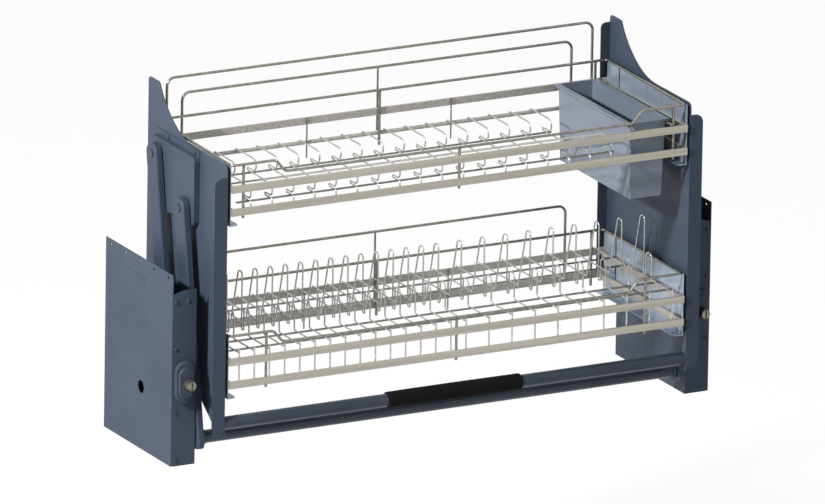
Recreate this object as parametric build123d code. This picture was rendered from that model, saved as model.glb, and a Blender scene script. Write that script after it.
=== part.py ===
"""Pull-down dish rack for a wall cabinet.

Two sheet-metal housings are screwed to the cabinet sides. Each carries a front and a rear swing
arm of equal length, so that the rack between them stays level while it swings forward and down.
The rack is two side panels, a bowl basket, a plate basket, a handle bar and a cutlery box.

Lengths are millimetres, +X to the right, +Y to the rear, +Z up. Pieces are drawn with Y counted
from the front plane of the housings, and are moved to the middle of the object when they are
written. Side pieces are drawn on the right and mirrored for the left.
"""
import os
from math import atan2, cos, degrees, hypot, pi, sin

from build123d import *

# Overall
overall_width = 864.0          # between the outer faces of the two covers
sheet = 1.5                    # folded sheet of the housings and panels
weld_gap = 0.1                 # between pieces that touch at a weld or a seat
pivot_clearance = 0.05         # radial, a pin in its bush or arm
open_pivot_clearance = 0.4     # radial, the rear arms' upper pins
head_gap = 0.4                 # between a turning head and the face beside it
overrun = 2.0                  # how far a cutting tool runs past a face

# Housings
housing_depth = 210.0
housing_width = 38.0
cover_height = 283.0
wall_height = 250.0
front_plate_height = 259.0
plate_corner_run = 16.0
plate_corner_rise = 5.0
flange_height = 27.0
seam_step = 0.4
cover_hole_radius = 9.5        # in line with the rear arm's lower pin
wall_screw_radius = 2.3
wall_screw_front_inset = 14.5
wall_screw_rear_inset = 15.5
wall_screw_count = 5
wall_screw_drop = 7.0          # below the cover's top edge
bottom_chamfer = 3.0

# Domed screws on the housing front
dome_radius = 3.3
dome_height = 1.6
dome_round = 1.3
outer_screw_inset = 6.5
inner_screw_inset = 25.5
lower_screw_heights = [9.0, 78.0, 173.0]
top_screw_drop = 16.0

# Load adjuster
adjuster_inset = 19.5
adjuster_z = 124.0
boss_width = 31.0
boss_height = 62.0
boss_depth = 6.0
collar_width = 24.0
collar_height = 46.0
collar_depth = 4.0
boss_edge_round = 1.5
knob_radius = 7.0
knob_reach = 26.0
knob_slot_width = 2.4
knob_slot_depth = 2.0
knob_flute_count = 16
knob_flute_radius = 0.8
tension_screw_radius = 3.0
tension_screw_lead = 1.25
tension_screw_turns = 3        # each way from the middle
tension_screw_inset = 10.0
block_length = 22.0
block_height = 20.0
block_inset = 24.0
block_wall_gap = 0.3
block_pocket_depth = 12.0      # takes the spring's rear end
pocket_end_gap = 0.75

# Pivots of the arms
front_pivot_y = 9.5
front_pivot_z = 35.0
pivot_pitch_y = 86.5
pivot_pitch_z = 57.0
arm_rise = 325.0
arm_set_back = 56.0
pin_radius = 4.0
pin_head_radius = 6.5
pin_head_height = 3.0
bush_radius = 5.5
bush_collar_radius = 7.5
bush_collar_height = 1.2

# Arms
arm_width = 32.0
arm_thickness = 9.5
arm_edge_round = 2.5
arm_foot_round = 9.0
arm_pocket_wall = 3.0
arm_housing_gap = 2.0
shaft_radius = 9.5
shaft_collar_radius = 11.0
shaft_collar_length = 7.0

# Balance spring and its crank
crank_radius = 30.0
crank_width = 14.0
crank_thickness = 4.0
crank_pin_radius = 2.5
crank_pin_length = 8.0
spring_radius = 5.0
spring_wire_radius = 1.0
spring_inset = 29.5
spring_pin_gap = 0.3

# Side panels
panel_arm_gap = 12.5
panel_front_y = -45.0
panel_front_bottom_z = 50.0
panel_front_round = 8.0
panel_toe_y = -18.0
panel_toe_z = 53.0
panel_cut_y = 40.0
panel_cut_z = 94.0
panel_rear_inset = 8.0
panel_rear_bottom_z = 105.0
panel_top_rise = 90.0          # above the upper front pivot
panel_top_end_y = 60.0
panel_sweep_y = 130.0
panel_sweep_rise = 113.0
panel_tip_y = 168.0
panel_tip_rise = 156.0
panel_tip_lean_share = 0.5     # sideways share of the top edge's direction at the tip
panel_tip_round = 6.0
front_flange_width = 19.0
front_flange_bottom_z = 55.0
front_flange_top_drop = 18.0
front_flange_round = 12.0
rear_flange_width = 15.0
rear_flange_bottom_rise = 25.0
rear_flange_top_drop = 11.0
rear_flange_round = 8.0

# Brackets that carry the upper pins, with their edges counted from the pins
bracket_front_margin = 26.5
bracket_rear_margin = 24.0
bracket_low_margin = 22.0
bracket_high_margin = 31.0
bracket_stand_off = 9.0
bracket_lip = 9.0
bracket_corner_round = 8.0
bracket_screw_radius = 3.2
bracket_screw_height = 1.8
bracket_screw_front_inset = 13.0
bracket_screw_rear_inset = 42.0

# Handle
handle_y = -35.0
handle_z = 66.5
handle_radius = 9.5
lip_width = 5.0
lip_thickness = 1.6
grip_radius = 12.5
grip_length = 216.0
grip_clearance = 0.1
grip_end_round = 2.5

# Flat bars of both baskets
bar_panel_gap = 5.5
bar_height = 11.0
bar_thickness = 4.0
rear_bar_thickness = 3.0
rear_bar_rise = 4.5            # the rear bars lie higher than the front ones
front_bar_y = -46.0
rear_bar_inset = 11.2
bar_pitch = 34.0
bar_round = 1.0

# Wires of both baskets
rim_radius = 2.0
rail_radius = 1.5
cross_radius = 1.15
rim_corner_round = 5.0
rim_drop = 18.0                # of its front stretch
rim_raised_length = 71.5
rim_bend_run = 15.0
rim_bend_round = 12.0
guard_corner_round = 12.0
guard_middle_x = -4.5
rear_rod_radius = 3.0
rear_rod_inset = 12.5
post_below_bar = 5.0
thin_post_spacing = 232.0
thin_post_below_bar = 16.0
thin_post_above_bar = 44.0
end_sheet_thickness = 0.8
end_sheet_drop = 21.0          # of its lip below the middle of the lower bar
end_sheet_lip = 14.0
end_sheet_lip_round = 9.0
end_sheet_slot_width = 3.0
end_sheet_slot_inset = 37.0
end_sheet_slot_margin = 12.0
spacer_radius = 5.0
spacer_front_y = -12.0
spacer_rear_y = 140.0

# Bowl basket
upper_bar_rise = 20.0          # above the upper front pivot
upper_rim_above_bar = 71.0
upper_rim_fall = 3.0           # from the rear to the front
upper_post_inset = 20.5
tall_guard_inset = 22.5
tall_guard_above_bar = 128.0
low_guard_left_inset = 47.0
low_guard_right_inset = 56.0
low_guard_drop = 24.5          # below the top of the tall guard
bowl_wire_pitch = 33.9
bowl_wire_left_inset = 32.1
bowl_wire_box_gap = 30.0
bowl_hook_drop = 6.0
bowl_floor_drop = 11.5         # below the middle of the lower bar
bowl_step_reach = 60.0         # how far the wires' upper step comes forward of the rear bars
bowl_curl_return = 27.0
bowl_curl_gap = 4.0
bowl_ramp_foot_y = 115.0
bowl_ramp_top_y = -12.0
bowl_ramp_round = 15.0
bowl_front_step_rise = 32.0
bowl_front_fold_rise = 12.0
bowl_front_return = 22.0
bowl_front_round = 3.0
bowl_rear_rail_y = 160.0
bowl_middle_rail_y = 123.0
bowl_front_rail_gap = 12.0
bowl_rail_left_inset = 15.5
bowl_rail_box_gap = 19.0

# Plate basket
lower_bar_z = 125.0
lower_rim_above_bar = 71.5
lower_rim_fall = 0.5
lower_front_post_inset = 60.5
lower_rear_post_inset = 21.5
lower_guard_left_inset = 52.0
lower_guard_right_inset = 61.0
lower_guard_above_bar = 112.6
narrow_wire_pitch = 24.15
narrow_wire_left_inset = 17.3
narrow_row_end_x = 15.5
wide_wire_pitch = 37.0
wide_wire_right_inset = 16.0
short_loop_front_y = 22.0
short_loop_rear_y = 38.0
short_loop_rise = 39.0         # above the floor of the dividers
tall_loop_front_y = 45.0
tall_loop_rear_y = 57.0
tall_loop_foot_y = 80.0
tall_loop_rise = 89.0
loop_foot_rise = 4.0
short_loop_round = 7.8
tall_loop_front_round = 5.5
tall_loop_rear_round = 7.0
loop_foot_round = 3.3
plate_turn_round = 2.9
plate_rail_places = [150.0, 110.0, 17.5, -20.0]

# Cutlery box
box_width = 56.0
box_right_inset = 27.5
box_front_y = -30.0
box_rear_y = 188.0
box_seat_gap = 0.3
box_drop = 67.0                # of its floor below the middle of the lower front bar
box_wall = 2.0
box_taper = 3.0
box_flange_width = 7.0
box_flange_thickness = 3.0
cradle_radius = 2.0

# Places that follow from the sizes above
half_width = overall_width / 2
housing_inner_x = half_width - housing_width
arm_outer_x = housing_inner_x - arm_housing_gap
arm_inner_x = arm_outer_x - arm_thickness
panel_half_gap = arm_inner_x - panel_arm_gap
panel_outer_x = panel_half_gap + sheet
bracket_outer_x = panel_outer_x + bracket_stand_off
bar_end_x = panel_half_gap - bar_panel_gap
panel_rear_y = housing_depth - panel_rear_inset
rear_bar_y = housing_depth - rear_bar_inset
front_bar_face_y = front_bar_y + bar_thickness / 2
rear_bar_face_y = rear_bar_y - rear_bar_thickness / 2
rear_bar_back_y = rear_bar_y + rear_bar_thickness / 2
front_rim_y = front_bar_face_y + weld_gap + rim_radius
rear_rim_y = rear_bar_face_y - weld_gap - rim_radius
rim_end_x = bar_end_x - weld_gap - rim_radius
rim_raised_x = bar_end_x - rim_raised_length
rim_lowered_x = rim_raised_x - rim_bend_run
front_wire_y = front_bar_face_y + weld_gap + cross_radius
guard_y = rear_bar_back_y + weld_gap + rim_radius
rear_pivot_y = front_pivot_y + pivot_pitch_y
rear_pivot_z = front_pivot_z + pivot_pitch_z
front_pivot = (front_pivot_y, front_pivot_z)
rear_pivot = (rear_pivot_y, rear_pivot_z)
upper_front_y = front_pivot_y + arm_set_back
upper_front_z = front_pivot_z + arm_rise
upper_rear_y = rear_pivot_y + arm_set_back
upper_rear_z = rear_pivot_z + arm_rise
arm_length = hypot(arm_rise, arm_set_back)
arm_lean = degrees(atan2(arm_set_back, arm_rise))
panel_top_z = upper_front_z + panel_top_rise
panel_sweep_z = upper_front_z + panel_sweep_rise
panel_tip_z = upper_front_z + panel_tip_rise
front_flange_top_z = panel_top_z - front_flange_top_drop
rear_flange_top_z = panel_tip_z - rear_flange_top_drop
rear_flange_bottom_z = panel_rear_bottom_z + rear_flange_bottom_rise
bracket_front_y = upper_front_y - bracket_front_margin
bracket_rear_y = upper_rear_y + bracket_rear_margin
bracket_bottom_z = upper_front_z - bracket_low_margin
bracket_top_z = upper_rear_z + bracket_high_margin
adjuster_x = half_width - adjuster_inset
spring_x = half_width - spring_inset
crank_pin_z = rear_pivot_z + crank_radius
block_travel = tension_screw_lead * tension_screw_turns
block_y = housing_depth - block_inset
block_front_y = block_y - block_length / 2
pocket_end_y = block_front_y + block_pocket_depth
upper_bar_z = upper_front_z + upper_bar_rise
upper_rim = (upper_bar_z + upper_rim_above_bar, upper_rim_fall)
lower_rim = (lower_bar_z + lower_rim_above_bar, lower_rim_fall)
rear_rod_y = rear_bar_face_y + rear_rod_radius
rear_rod_z = upper_bar_z + rear_bar_rise + rear_rod_radius / 2
bowl_floor_z = upper_bar_z - bowl_floor_drop
bowl_step_z = rear_rod_z + rear_rod_radius + weld_gap + cross_radius
bowl_rail_z = bowl_floor_z - cross_radius - weld_gap - rail_radius
plate_floor_z = (lower_bar_z + bar_pitch + rear_bar_rise + bar_height / 2 + weld_gap
                 + cross_radius)
plate_rail_z = plate_floor_z - cross_radius - weld_gap - rail_radius
box_right_x = bar_end_x - box_right_inset
box_left_x = box_right_x - box_width
box_bottom_z = upper_bar_z - box_drop
cradle_z = upper_bar_z + bar_pitch + bar_height / 2 + weld_gap + cradle_radius
box_top_z = cradle_z + cradle_radius + box_seat_gap + box_flange_thickness
front_reach = -(front_bar_y - bar_thickness / 2)
centre_y = (housing_depth - front_reach) / 2


def write(name, shape):
    """Move a node's solids to the middle of the object and write them to its file."""
    placed = Pos(0, -centre_y, 0) * shape
    export_step(placed, f"parts/{name}.step")


def group(solids):
    """Keep separate solids together as one node."""
    parts = []
    for solid in solids:
        parts.extend(solid.solids())
    return Compound(parts)


def to_left(shape):
    """Mirror a right-hand piece to the left side."""
    return mirror(shape, about=Plane.YZ)


def write_pair(name, shape):
    """Write a right-hand piece and its mirror image on the left."""
    write(f"right_{name}", shape)
    write(f"left_{name}", to_left(shape))


def write_both(name, shape):
    """Write the right-hand pieces and their mirror images as one node."""
    write(name, group([shape, to_left(shape)]))


def block(low, high):
    """A box between two corners."""
    size = [b - a for a, b in zip(low, high)]
    return Pos(*low) * Box(*size, align=(Align.MIN, Align.MIN, Align.MIN))


def rod_x(radius, start_x, end_x, y, z):
    """A round bar along X."""
    return Pos(start_x, y, z) * Rot(0, 90, 0) * Cylinder(
        radius, end_x - start_x, align=(Align.CENTER, Align.CENTER, Align.MIN))


def rod_y(radius, x, start_y, end_y, z):
    """A round bar along Y."""
    return Pos(x, start_y, z) * Rot(-90, 0, 0) * Cylinder(
        radius, end_y - start_y, align=(Align.CENTER, Align.CENTER, Align.MIN))


def rod_z(radius, x, y, start_z, end_z):
    """A round bar along Z."""
    return Pos(x, y, start_z) * Cylinder(
        radius, end_z - start_z, align=(Align.CENTER, Align.CENTER, Align.MIN))


def bent_wire(points, radii, radius):
    """A round wire along straight runs joined by arcs, with one radius for each corner."""
    path = FilletPolyline(*points, radius=radii)
    section = Plane(origin=path @ 0, z_dir=path % 0) * Circle(radius)
    return sweep(section, path=path)


def side_plate(outline, start_x, end_x):
    """A flat face drawn in (Y, Z), given thickness along X."""
    face = Plane(origin=(start_x, 0, 0), x_dir=(0, 1, 0), z_dir=(1, 0, 0)) * outline
    return extrude(face, end_x - start_x)


# Housings

def housing():
    """Folded box, open at the top, with a front plate that stands above the inner wall."""
    outer_x = half_width - sheet
    shell = block((housing_inner_x, 0, 0), (outer_x, housing_depth, wall_height))
    shell -= block((housing_inner_x + sheet, sheet, sheet),
                   (outer_x + overrun, housing_depth - sheet, wall_height + overrun))
    corner = Polyline((housing_inner_x, wall_height - sheet), (housing_inner_x, front_plate_height),
                      (outer_x - plate_corner_run, front_plate_height),
                      (outer_x, front_plate_height - plate_corner_rise),
                      (outer_x, wall_height - sheet), close=True)
    shell += extrude(Plane.XZ * make_face(corner), -sheet)
    edge = Polyline((outer_x - bottom_chamfer, -overrun), (outer_x + overrun, -overrun),
                    (outer_x + overrun, bottom_chamfer), (outer_x, bottom_chamfer), close=True)
    shell -= extrude(Plane.XZ * make_face(edge), -sheet - overrun, both=True)
    for y, z in (front_pivot, rear_pivot):
        shell -= rod_x(bush_radius, housing_inner_x - overrun, housing_inner_x + sheet + overrun, y, z)
    shell -= rod_y(tension_screw_radius + pivot_clearance, adjuster_x, -overrun, sheet + overrun,
                   adjuster_z)
    return shell


def cover():
    """Outer plate that closes the housing and carries the wall flange with its screw holes."""
    inner_x = half_width - sheet
    seam_z = cover_height - flange_height
    screw_z = cover_height - wall_screw_drop
    screw_run = housing_depth - wall_screw_front_inset - wall_screw_rear_inset
    plate = block((inner_x, 0, 0), (half_width, housing_depth, cover_height))
    plate -= block((half_width - seam_step, -overrun, seam_z - seam_step),
                   (half_width + overrun, housing_depth + overrun, seam_z))
    plate -= rod_x(cover_hole_radius, inner_x - overrun, half_width + overrun,
                   rear_pivot_y, rear_pivot_z)
    for index in range(wall_screw_count):
        y = wall_screw_front_inset + screw_run * index / (wall_screw_count - 1)
        plate -= rod_x(wall_screw_radius, inner_x - overrun, half_width + overrun, y, screw_z)
    return plate


def dome(x, z):
    """Domed screw head on the front plate."""
    head = rod_y(dome_radius, x, -dome_height, 0, z)
    return fillet(head.edges().filter_by(GeomType.CIRCLE).sort_by(Axis.Y)[0], dome_round)


def housing_screws():
    """The screws along the outer edge of the front plate, and one more at its top."""
    top_z = front_plate_height - top_screw_drop
    heads = [dome(half_width - outer_screw_inset, z) for z in lower_screw_heights + [top_z]]
    heads.append(dome(half_width - inner_screw_inset, top_z))
    return group(heads)


def obround(width, height, depth, front_y):
    """An upright slab with round ends, standing out towards the front."""
    outline = SlotOverall(height, width, rotation=90)
    slab = extrude(Plane.XZ * Pos(adjuster_x, adjuster_z) * outline, depth)
    slab = Pos(0, front_y, 0) * slab
    return fillet(slab.faces().sort_by(Axis.Y)[0].edges(), boss_edge_round)


def adjuster_boss():
    """Moulded guide of the load adjuster on the front plate."""
    boss = obround(boss_width, boss_height, boss_depth, 0)
    boss += obround(collar_width, collar_height, collar_depth, -boss_depth)
    boss -= rod_y(tension_screw_radius + pivot_clearance, adjuster_x,
                  -boss_depth - collar_depth - overrun, overrun, adjuster_z)
    return boss


def adjuster_knob():
    """Fluted steel knob with a driver slot, in one piece with the tension screw."""
    knob_back_y = -boss_depth - collar_depth - head_gap
    knob = rod_y(knob_radius, adjuster_x, -knob_reach, knob_back_y, adjuster_z)
    for index in range(knob_flute_count):
        angle = 2 * pi * index / knob_flute_count
        x = adjuster_x + knob_radius * cos(angle)
        z = adjuster_z + knob_radius * sin(angle)
        knob -= rod_y(knob_flute_radius, x, -knob_reach - overrun, knob_back_y + overrun, z)
    knob -= block((adjuster_x - knob_slot_width / 2, -knob_reach - overrun, adjuster_z - knob_radius),
                  (adjuster_x + knob_slot_width / 2, -knob_reach + knob_slot_depth,
                   adjuster_z + knob_radius))
    knob += rod_y(tension_screw_radius, adjuster_x, knob_back_y - overrun,
                  housing_depth - tension_screw_inset, adjuster_z)
    return knob


def tension_block():
    """Block on the tension screw, with a pocket that holds the spring's rear end."""
    outer_x = adjuster_x + 2 * tension_screw_radius
    nut = block((housing_inner_x + sheet + block_wall_gap, block_y - block_length / 2,
                 adjuster_z - block_height / 2),
                (outer_x, block_y + block_length / 2, adjuster_z + block_height / 2))
    nut -= rod_y(tension_screw_radius + pivot_clearance, adjuster_x, block_y - block_length,
                 block_y + block_length, adjuster_z)
    nut -= rod_y(spring_radius + pivot_clearance, spring_x, block_front_y - overrun, pocket_end_y,
                 crank_pin_z)
    return nut


def balance_spring():
    """Extension spring from the crank pin to the tension block, as a sleeve of its outer size."""
    start_y = rear_pivot_y + crank_width / 2 + spring_pin_gap
    end_y = pocket_end_y - block_travel - pocket_end_gap
    sleeve = rod_y(spring_radius, spring_x, start_y, end_y, crank_pin_z)
    sleeve -= rod_y(spring_radius - 2 * spring_wire_radius, spring_x, start_y + spring_radius,
                    end_y - spring_radius, crank_pin_z)
    return sleeve


def bushes():
    """Flanged bushes in the inner wall for the two pivot pins."""
    rings = []
    for y, z in (front_pivot, rear_pivot):
        ring = rod_x(bush_radius, housing_inner_x, housing_inner_x + sheet, y, z)
        ring += rod_x(bush_collar_radius, housing_inner_x + sheet,
                      housing_inner_x + sheet + bush_collar_height, y, z)
        ring -= rod_x(pin_radius + pivot_clearance, housing_inner_x - overrun,
                      housing_inner_x + sheet + bush_collar_height + overrun, y, z)
        rings.append(ring)
    return group(rings)


# Arms

def arm(pivot, upper_clearance):
    """Pressed arm with a square foot, a round head and a pin hole in each."""
    y, z = pivot
    middle_y = y + arm_set_back / 2
    middle_z = z + arm_rise / 2
    outline = SlotCenterToCenter(arm_length, arm_width, rotation=90 - arm_lean)
    foot = Pos(y, z) * Rot(0, 0, -arm_lean) * RectangleRounded(arm_width, arm_width, arm_foot_round)
    profile = Pos(middle_y, middle_z) * outline + foot
    body = side_plate(profile, arm_inner_x, arm_outer_x)
    body = fillet(body.faces().sort_by(Axis.X)[-1].edges(), arm_edge_round)
    pocket_width = arm_width - 2 * arm_pocket_wall
    pocket = SlotCenterToCenter(arm_length - 2 * arm_width, pocket_width, rotation=90 - arm_lean)
    body -= side_plate(Pos(middle_y, middle_z) * pocket, arm_inner_x - overrun,
                       arm_outer_x - arm_pocket_wall)
    top_y = y + arm_set_back
    top_z = z + arm_rise
    body -= rod_x(pin_radius, arm_inner_x - overrun, arm_outer_x + overrun, y, z)
    body -= rod_x(pin_radius + upper_clearance, arm_inner_x - overrun, arm_outer_x + overrun,
                  top_y, top_z)
    return body


def lower_pin(pivot, start_x):
    """Pin through an arm's lower end and the housing's bush, with a head inside the housing."""
    y, z = pivot
    head_x = housing_inner_x + sheet + bush_collar_height + head_gap
    pin = rod_x(pin_radius, start_x, head_x + pin_head_height, y, z)
    pin += rod_x(pin_head_radius, head_x, head_x + pin_head_height, y, z)
    return pin


def crank():
    """Crank inside the housing on the rear arm's pin, with the pin that pulls the spring."""
    y, z = rear_pivot
    start_x = housing_inner_x + sheet + bush_collar_height + head_gap + pin_head_height
    outline = Pos(y, z + crank_radius / 2) * SlotCenterToCenter(crank_radius, crank_width, rotation=90)
    lever = side_plate(outline, start_x, start_x + crank_thickness)
    lever += rod_x(crank_pin_radius, start_x, start_x + crank_pin_length, y, crank_pin_z)
    return lever


def sync_shaft():
    """Round shaft that ties the two front arms, with a collar at each end."""
    end_x = arm_inner_x
    y, z = front_pivot
    shaft = rod_x(shaft_radius, -end_x, end_x, y, z)
    for side in (-1, 1):
        near = side * (end_x - shaft_collar_length)
        far = side * end_x
        shaft += rod_x(shaft_collar_radius, min(near, far), max(near, far), y, z)
    return shaft


# Panels, brackets and handle

def panel_outline():
    """Side panel drawn in (Y, Z): straight front, swept top, tall rear tip, slanted rear bottom."""
    top_sweep = Spline((panel_top_end_y, panel_top_z), (panel_sweep_y, panel_sweep_z),
                       (panel_tip_y, panel_tip_z), tangents=[(1, 0), (panel_tip_lean_share, 1)])
    edges = [
        Line((panel_front_y, panel_front_bottom_z), (panel_front_y, panel_top_z)),
        Line((panel_front_y, panel_top_z), (panel_top_end_y, panel_top_z)),
        top_sweep,
        Line((panel_tip_y, panel_tip_z), (panel_rear_y, panel_tip_z)),
        Line((panel_rear_y, panel_tip_z), (panel_rear_y, panel_rear_bottom_z)),
        Line((panel_rear_y, panel_rear_bottom_z), (panel_cut_y, panel_cut_z)),
        Line((panel_cut_y, panel_cut_z), (panel_toe_y, panel_toe_z)),
        Line((panel_toe_y, panel_toe_z), (panel_toe_y, panel_front_bottom_z)),
        Line((panel_toe_y, panel_front_bottom_z), (panel_front_y, panel_front_bottom_z)),
    ]
    return make_face(edges)


def rounded_strip(low, high, width_axis_x, radius):
    """A thin upright strip in an XZ plane whose two free corners are rounded."""
    strip = block(low, high)
    free = strip.edges().filter_by(Axis.Y)
    free = free.sort_by(Axis.X)[-2:] if width_axis_x > 0 else free.sort_by(Axis.X)[:2]
    return fillet(free, radius)


def panel():
    """Side panel with an outward flange at the front and an inward flange at the rear."""
    plate = side_plate(panel_outline(), panel_half_gap, panel_outer_x)
    tips = plate.edges().filter_by(Axis.X)
    tall_corners = tips.filter_by_position(Axis.Z, panel_tip_z - sheet, panel_tip_z + sheet)
    plate = fillet(tall_corners, panel_tip_round)
    front_corners = plate.edges().filter_by(Axis.X).filter_by_position(
        Axis.Y, panel_front_y - sheet, panel_front_y + sheet)
    plate = fillet(front_corners.sort_by(Axis.Z)[-1], panel_front_round)
    front = rounded_strip((panel_half_gap, panel_front_y, front_flange_bottom_z),
                          (panel_outer_x + front_flange_width, panel_front_y + sheet,
                           front_flange_top_z), 1, front_flange_round)
    rear = rounded_strip((panel_half_gap - rear_flange_width, panel_rear_y - sheet,
                          rear_flange_bottom_z),
                         (panel_outer_x, panel_rear_y, rear_flange_top_z), -1, rear_flange_round)
    return plate + front + rear


def bracket():
    """Hat-shaped bracket on the outer side of the panel, which holds the two upper pins."""
    hat = block((panel_outer_x, bracket_front_y, bracket_bottom_z),
                (bracket_outer_x, bracket_rear_y, bracket_top_z - bracket_lip))
    hat = fillet(hat.edges().filter_by(Axis.X), bracket_corner_round)
    inner = block((panel_outer_x - overrun, bracket_front_y + sheet, bracket_bottom_z + sheet),
                  (bracket_outer_x - sheet, bracket_rear_y - sheet,
                   bracket_top_z - bracket_lip - sheet))
    hat -= fillet(inner.edges().filter_by(Axis.X), bracket_corner_round - sheet)
    lip = block((panel_outer_x, bracket_front_y, bracket_top_z - bracket_lip - sheet),
                (panel_outer_x + sheet, bracket_rear_y, bracket_top_z))
    hat += lip
    for y, z in (front_pivot, rear_pivot):
        hat -= rod_x(pin_radius, panel_outer_x, bracket_outer_x + overrun,
                     y + arm_set_back, z + arm_rise)
    return hat


def bracket_screws():
    """Pan-head screws that hold the bracket's lip to the panel."""
    start_x = panel_outer_x + sheet
    z = bracket_top_z - bracket_lip / 2
    return group([rod_x(bracket_screw_radius, start_x, start_x + bracket_screw_height, y, z)
                  for y in (bracket_front_y + bracket_screw_front_inset,
                            bracket_rear_y - bracket_screw_rear_inset)])


def upper_pin(pivot):
    """Pin from the bracket through an arm's upper end, with a round head outside."""
    y = pivot[0] + arm_set_back
    z = pivot[1] + arm_rise
    head_x = arm_outer_x + pivot_clearance
    pin = rod_x(pin_radius, panel_outer_x, head_x + pin_head_height / 2, y, z)
    pin += rod_x(pin_head_radius, head_x, head_x + pin_head_height / 2, y, z)
    return pin


def handle_bar():
    """Round bar between the panels with a fine lip along its lower edge."""
    bar = rod_x(handle_radius, -panel_half_gap, panel_half_gap, handle_y, handle_z)
    edge_z = handle_z - handle_radius
    lip = block((grip_length / 2 + lip_width, handle_y - lip_width / 2, edge_z - lip_thickness / 2),
                (panel_half_gap, handle_y + lip_width / 2, edge_z + lip_thickness))
    return bar + lip + to_left(lip)


def foam_grip():
    """Foam sleeve at the middle of the handle bar."""
    grip = rod_x(grip_radius, -grip_length / 2, grip_length / 2, handle_y, handle_z)
    grip = fillet(grip.edges().filter_by(GeomType.CIRCLE), grip_end_round)
    grip -= rod_x(handle_radius + grip_clearance, -grip_length, grip_length, handle_y, handle_z)
    return grip


# Pieces that both baskets have

def wires_in_row(first_x, last_x, pitch):
    """How many wires at one pitch fit between two places."""
    return int((last_x - first_x) / pitch) + 1


def row_of(wire, first_x, pitch, count):
    """A row of equal wires at one pitch."""
    return group([Pos(first_x + index * pitch, 0, 0) * wire for index in range(count)])


def long_bar(y, z, thickness):
    """Flat bar along the front or the rear of a basket."""
    bar = block((-bar_end_x, y - thickness / 2, z - bar_height / 2),
                (bar_end_x, y + thickness / 2, z + bar_height / 2))
    return fillet(bar.edges().filter_by(Axis.X), bar_round)


def end_bar(z):
    """Flat bar along the right end of a basket, between its front and rear bars."""
    bar = block((bar_end_x - bar_thickness, front_bar_face_y + weld_gap, z - bar_height / 2),
                (bar_end_x, rear_bar_face_y - weld_gap, z + bar_height / 2))
    return fillet(bar.edges().filter_by(Axis.Y), bar_round)


def end_bars(bar_z):
    """The flat bars at both ends of a basket."""
    right = [end_bar(bar_z), end_bar(bar_z + bar_pitch)]
    return group(right + [to_left(bar) for bar in right])


def front_bars(bar_z):
    """The lower and the upper flat bar along the front."""
    return group([long_bar(front_bar_y, z, bar_thickness) for z in (bar_z, bar_z + bar_pitch)])


def upper_rear_bar(bar_z):
    """The upper flat bar along the rear."""
    return long_bar(rear_bar_y, bar_z + bar_pitch + rear_bar_rise, rear_bar_thickness)


def rim(rim_place):
    """Closed rim wire, raised at the rear, the ends and the front corners, lower at the front."""
    rear_z, fall = rim_place
    front_z = rear_z - fall
    low_z = front_z - rim_drop
    corners = [
        (0, rear_rim_y, rear_z), (rim_end_x, rear_rim_y, rear_z), (rim_end_x, front_rim_y, front_z),
        (rim_raised_x, front_rim_y, front_z), (rim_lowered_x, front_rim_y, low_z),
        (0, front_rim_y, low_z),
    ]
    radii = [rim_corner_round, rim_corner_round, rim_bend_round, rim_bend_round]
    right = bent_wire(corners, radii, rim_radius)
    return right + to_left(right)


def posts(bar_z, rim_place, front_inset, rear_inset):
    """Upright wires that carry the rim, on the inner faces of the flat bars."""
    rear_z, fall = rim_place
    rear_top_z = rear_z - rim_radius - weld_gap
    front_top_z = rear_top_z - fall
    low_z = bar_z - bar_height / 2 - post_below_bar
    front_x = bar_end_x - front_inset
    rear_x = bar_end_x - rear_inset
    uprights = [rod_z(rim_radius, x, front_rim_y, low_z, front_top_z) for x in (-front_x, front_x)]
    uprights.append(rod_z(rim_radius, 0, front_rim_y, low_z, front_top_z - rim_drop))
    uprights += [rod_z(rim_radius, x, rear_rim_y, low_z, rear_top_z)
                 for x in (-rear_x, guard_middle_x, rear_x)]
    thin_y = rear_bar_face_y - weld_gap - cross_radius
    uprights += [rod_z(cross_radius, guard_middle_x + shift, thin_y, bar_z - thin_post_below_bar,
                       bar_z + thin_post_above_bar)
                 for shift in (-thin_post_spacing / 2, thin_post_spacing / 2)]
    return group(uprights)


def guard(left_x, right_x, foot_z, top_z):
    """Back guard: an arch of wire behind the rear bars."""
    points = [(left_x, guard_y, foot_z), (left_x, guard_y, top_z), (right_x, guard_y, top_z),
              (right_x, guard_y, foot_z)]
    return bent_wire(points, [guard_corner_round] * 2, rim_radius)


def guard_leg(foot_z, top_z):
    """Middle leg of a back guard."""
    return rod_z(rail_radius, guard_middle_x, guard_y, foot_z, top_z)


def end_sheets(bar_z, rim_place):
    """Thin folded sheets that close both ends of a basket, with a lip inwards at the bottom."""
    rear_z, fall = rim_place
    outer_x = bar_end_x + end_sheet_thickness
    low_z = bar_z - end_sheet_drop
    right = block((bar_end_x, front_bar_face_y, low_z), (outer_x, rear_bar_face_y, rear_z - fall))
    slot_y = rear_bar_face_y - end_sheet_slot_inset
    right -= block((bar_end_x - overrun, slot_y - end_sheet_slot_width / 2,
                    low_z + end_sheet_slot_margin),
                   (outer_x + overrun, slot_y + end_sheet_slot_width / 2, rear_z + overrun))
    lip = block((bar_end_x - end_sheet_lip, front_bar_face_y, low_z),
                (outer_x, rear_bar_face_y, low_z + end_sheet_thickness))
    inner_corners = lip.edges().filter_by(Axis.Z).sort_by(Axis.X)[:2]
    lip = fillet(inner_corners.sort_by(Axis.Y)[0], end_sheet_lip_round)
    right += lip
    return group([right, to_left(right)])


def spacers(bar_z):
    """Screwed spacers that hold the ends of a basket to the side panels."""
    start_x = bar_end_x + end_sheet_thickness
    right = [rod_x(spacer_radius, start_x, panel_half_gap, y, bar_z + bar_pitch)
             for y in (spacer_front_y, spacer_rear_y)]
    return group(right + [to_left(spacer) for spacer in right])


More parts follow.
